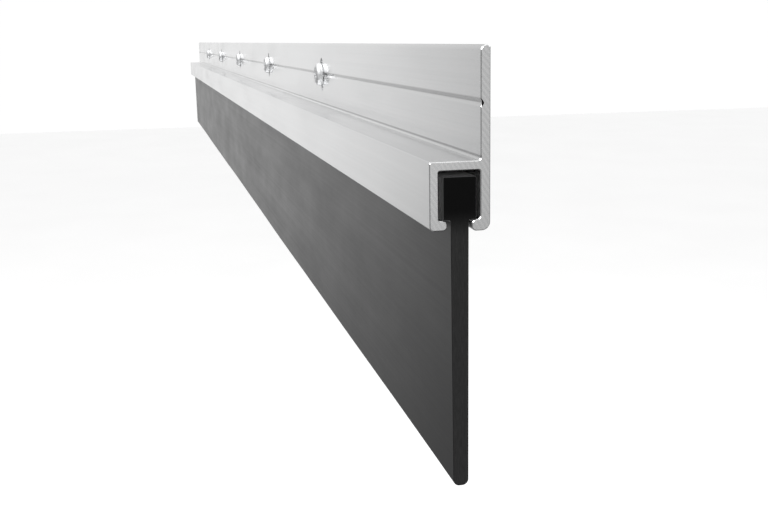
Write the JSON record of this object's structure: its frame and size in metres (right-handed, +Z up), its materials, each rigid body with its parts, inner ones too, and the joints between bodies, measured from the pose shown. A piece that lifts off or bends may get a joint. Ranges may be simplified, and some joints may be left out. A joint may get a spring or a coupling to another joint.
{
  "type": "door sweep",
  "caption": "Door bottom sweep: aluminium rail with a screw leg and a channel, holding a replaceable rubber blade that seals the gap under a door.",
  "frame": {"origin": "mid-length of the sweep, on the retainer's door face, at the height of the drill line that the screws lie on", "axes": "+X runs along the sweep, +Y points into the door, +Z is up; the blade hangs towards -Z"},
  "size_m": [0.9144, 0.028, 0.0778],
  "materials": {
    "aluminium": "bright mill-finish extrusion with fine die lines along it",
    "rubber": "black neoprene, satin, with faint extrusion lines",
    "screw_steel": "zinc-plated steel"
  },
  "bodies": {
    "screws": {"screw_1": "screw_steel", "screw_2": "screw_steel", "screw_3": "screw_steel", "screw_4": "screw_steel", "screw_5": "screw_steel"},
    "retainer": {"retainer": "aluminium"},
    "insert": {"insert_head": "rubber"},
    "blade": {"insert_blade": "rubber"}
  },
  "joints": [
    {"name": "height_adjust", "type": "slide", "parent": "screws", "child": "retainer", "axis": [0, 0, 1], "range_m": [-0.003, 0.003]},
    {"name": "insert_slide", "type": "slide", "parent": "retainer", "child": "insert", "axis": [1, 0, 0], "range_m": [-0.93, 0.93]},
    {"name": "blade_flex", "type": "hinge", "parent": "insert", "child": "blade", "pos_m": [0, -0.00547, -0.02355], "axis": [1, 0, 0], "range_deg": [-35, 35], "stiffness_Nm_per_rad": 0.7}
  ]
}
